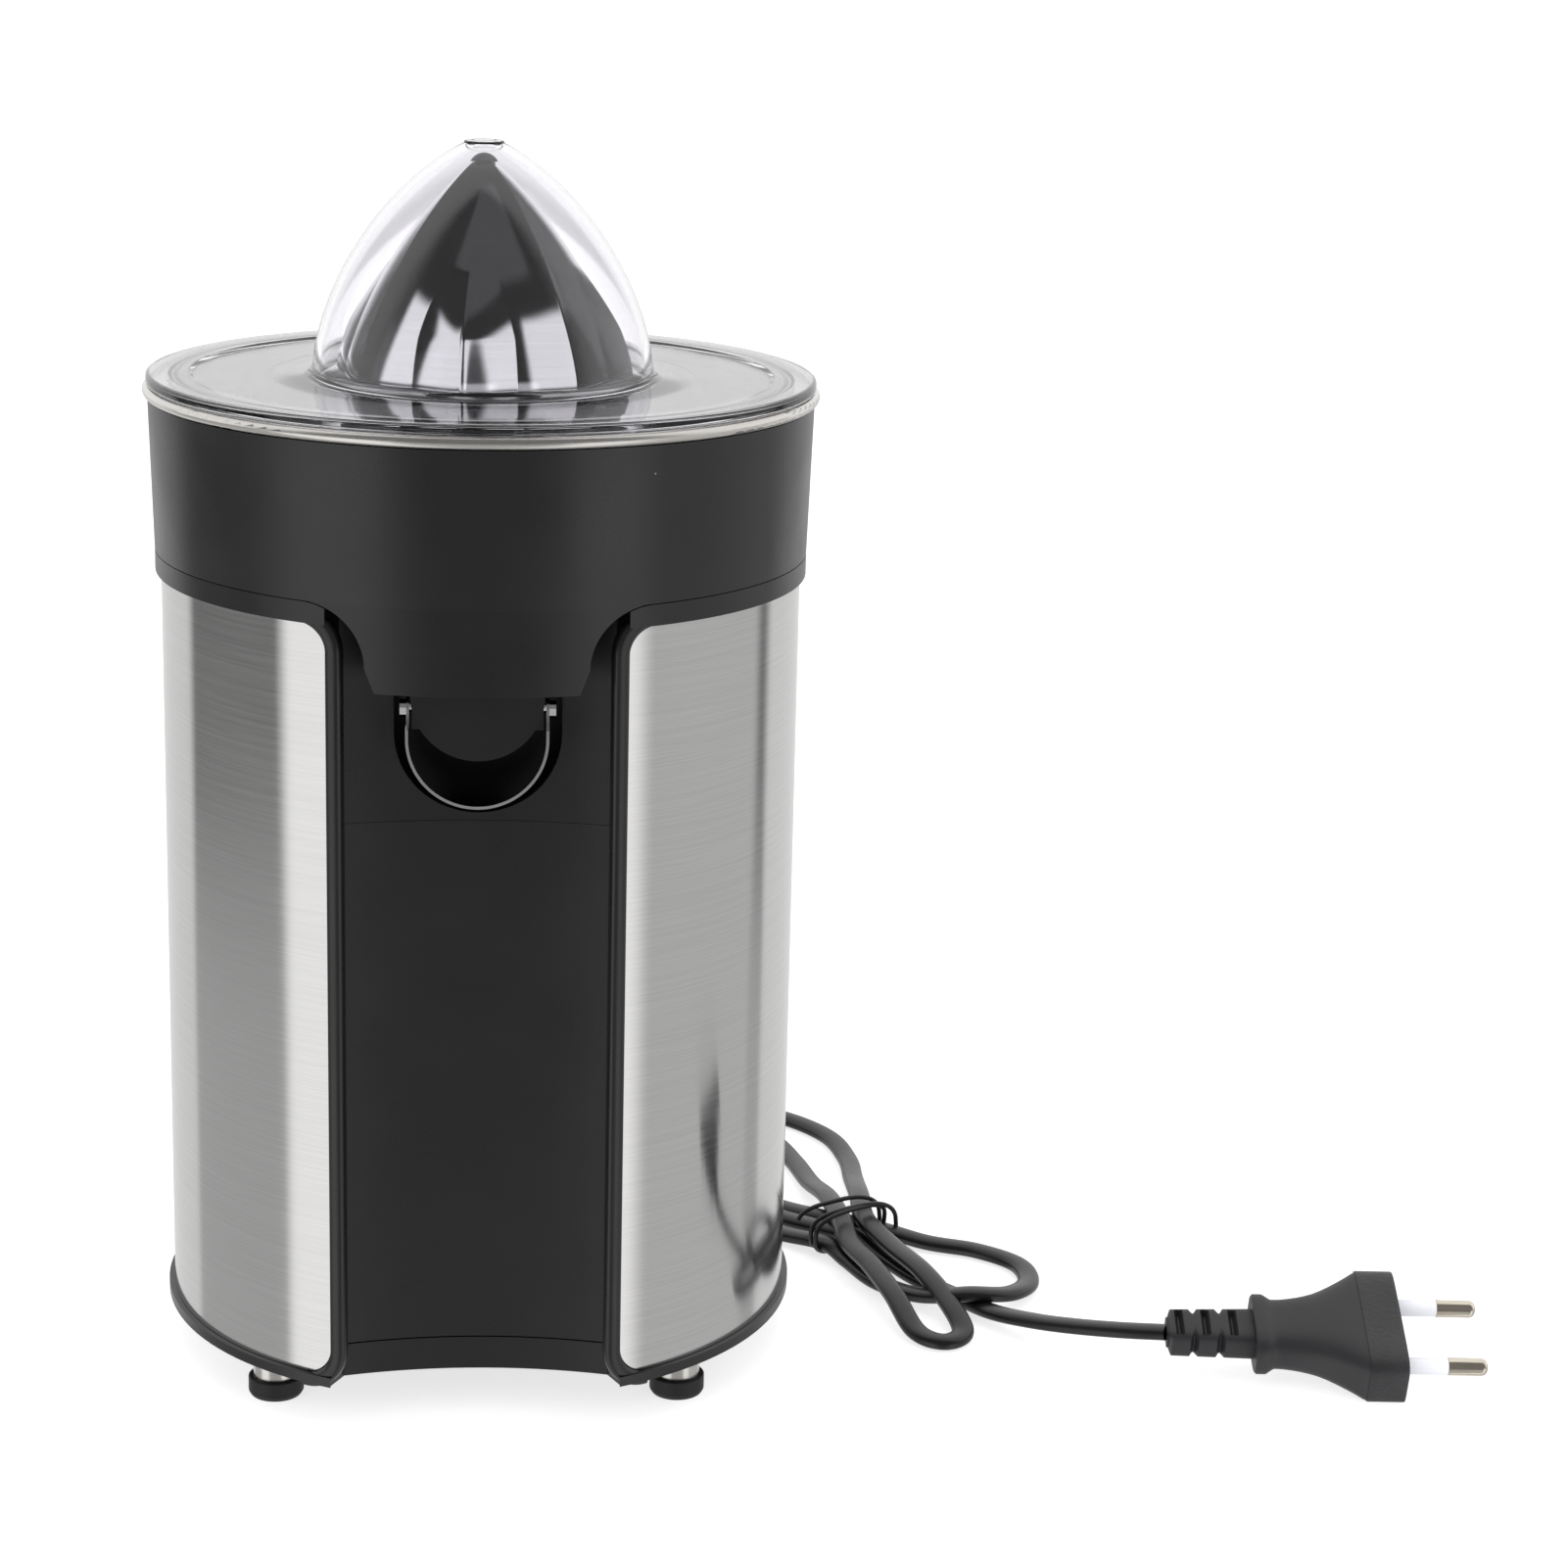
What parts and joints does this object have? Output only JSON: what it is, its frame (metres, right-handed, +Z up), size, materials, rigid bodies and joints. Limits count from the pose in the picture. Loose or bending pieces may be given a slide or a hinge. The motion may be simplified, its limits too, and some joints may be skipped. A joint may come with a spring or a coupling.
{
  "type": "citrus press juicer",
  "caption": "Free-standing electric citrus press with a steel sleeve, lift-off bowl, fluted reamer, clear domed lid, tilting spout and a tied mains lead.",
  "frame": {"origin": "on the drive axis at floor level, midway between the feet", "axes": "+Z up along the drive axis, -Y towards the spout, +X to the right seen from the front"},
  "size_m": [0.3021, 0.2203, 0.2729],
  "materials": {
    "charcoal_plastic": "matte",
    "hidden_plastic": "matte",
    "rubber": "matte",
    "brushed_steel": "brushed",
    "polished_steel": "polished",
    "zinc_screw": "satin",
    "bronze_bush": "satin",
    "motor_steel": "satin",
    "copper": "gloss",
    "white_nylon": "matte",
    "red_plastic": "matte",
    "dark_cap": "satin",
    "clear_plastic": "clear",
    "cord_pvc": "satin",
    "plug_plastic": "matte",
    "white_sleeve": "satin",
    "nickel": "polished"
  },
  "bodies": {
    "base": {"base_tray": "charcoal_plastic", "base_screws": "zinc_screw", "foot_posts": "brushed_steel", "foot_caps": "rubber", "steel_sleeve": "brushed_steel", "chassis": "charcoal_plastic", "front_panel": "charcoal_plastic", "top_deck": "charcoal_plastic", "deck_screws": "zinc_screw", "upper_bush": "bronze_bush", "shaft_seal": "rubber", "gear_plate": "hidden_plastic", "plate_screws": "zinc_screw", "lower_bush": "bronze_bush", "gear_cover": "hidden_plastic", "cover_screws": "zinc_screw", "idler_axle": "polished_steel", "motor_bracket": "motor_steel", "motor_stator": "motor_steel", "motor_coil": "copper", "motor_bolts": "zinc_screw", "motor_bushes": "bronze_bush", "micro_switch": "hidden_plastic", "switch_screws": "zinc_screw", "press_spring": "zinc_screw", "cord_clamp": "hidden_plastic", "clamp_screws": "zinc_screw", "terminal_block": "white_nylon", "strain_relief": "rubber", "power_cord": "cord_pvc", "cord_tie": "cord_pvc", "plug_body": "plug_plastic", "plug_relief": "plug_plastic", "plug_sleeves": "white_sleeve", "plug_pins": "nickel"},
    "rotor": {"rotor_core": "motor_steel", "rotor_shaft": "polished_steel", "rotor_pinion": "bronze_bush", "cooling_fan": "hidden_plastic"},
    "idler": {"idler_gear": "white_nylon"},
    "carrier": {"press_carrier": "white_nylon"},
    "plunger": {"switch_plunger": "red_plastic"},
    "shaft": {"drive_shaft": "polished_steel", "output_gear": "white_nylon", "shaft_clips": "zinc_screw", "drive_collar": "hidden_plastic"},
    "reamer": {"reamer_shell": "polished_steel", "reamer_core": "hidden_plastic", "reamer_tip": "dark_cap"},
    "bowl": {"collar": "charcoal_plastic", "steel_bowl": "brushed_steel", "outlet_duct": "charcoal_plastic", "duct_seal": "rubber", "strainer": "brushed_steel"},
    "spout": {"spout_trough": "polished_steel", "spout_pins": "polished_steel"},
    "lid": {"lid": "clear_plastic"}
  },
  "joints": [
    {"name": "rotor_spin", "type": "hinge", "parent": "base", "child": "rotor", "pos_m": [0, 0.022, 0.06], "axis": [0, 0, 1], "continuous": true},
    {"name": "idler_spin", "type": "hinge", "parent": "base", "child": "idler", "pos_m": [0.02886, 0.01382, 0.11], "axis": [0, 0, 1], "continuous": true},
    {"name": "reamer_press", "type": "slide", "parent": "base", "child": "carrier", "axis": [0, 0, 1], "range_m": [-0.003, 0], "stiffness_N_per_m": 3000, "springref_m": 0.0027, "deforming": ["press_spring"]},
    {"name": "switch_press", "type": "slide", "parent": "base", "child": "plunger", "axis": [0, 0, 1], "range_m": [-0.003, 0]},
    {"name": "shaft_spin", "type": "hinge", "parent": "carrier", "child": "shaft", "pos_m": [0, 0, 0.2], "axis": [0, 0, 1], "continuous": true},
    {"name": "reamer_lift", "type": "slide", "parent": "shaft", "child": "reamer", "axis": [0, 0, 1], "range_m": [0, 0.12]},
    {"name": "bowl_lift", "type": "slide", "parent": "base", "child": "bowl", "axis": [0, 0, 1], "range_m": [0, 0.12]},
    {"name": "spout_tilt", "type": "hinge", "parent": "bowl", "child": "spout", "pos_m": [0, -0.056, 0.161], "axis": [-1, 0, 0], "range_deg": [0, 20]},
    {"name": "lid_lift", "type": "slide", "parent": "bowl", "child": "lid", "axis": [0, 0, 1], "range_m": [0, 0.1]}
  ],
  "couplings": [
    {"joint": "idler_spin", "follows": "rotor_spin", "ratio": -0.25},
    {"joint": "shaft_spin", "follows": "rotor_spin", "ratio": 0.057692},
    {"joint": "switch_press", "follows": "reamer_press", "ratio": 1},
    {"joint": "reamer_lift", "follows": "bowl_lift", "ratio": 1}
  ]
}
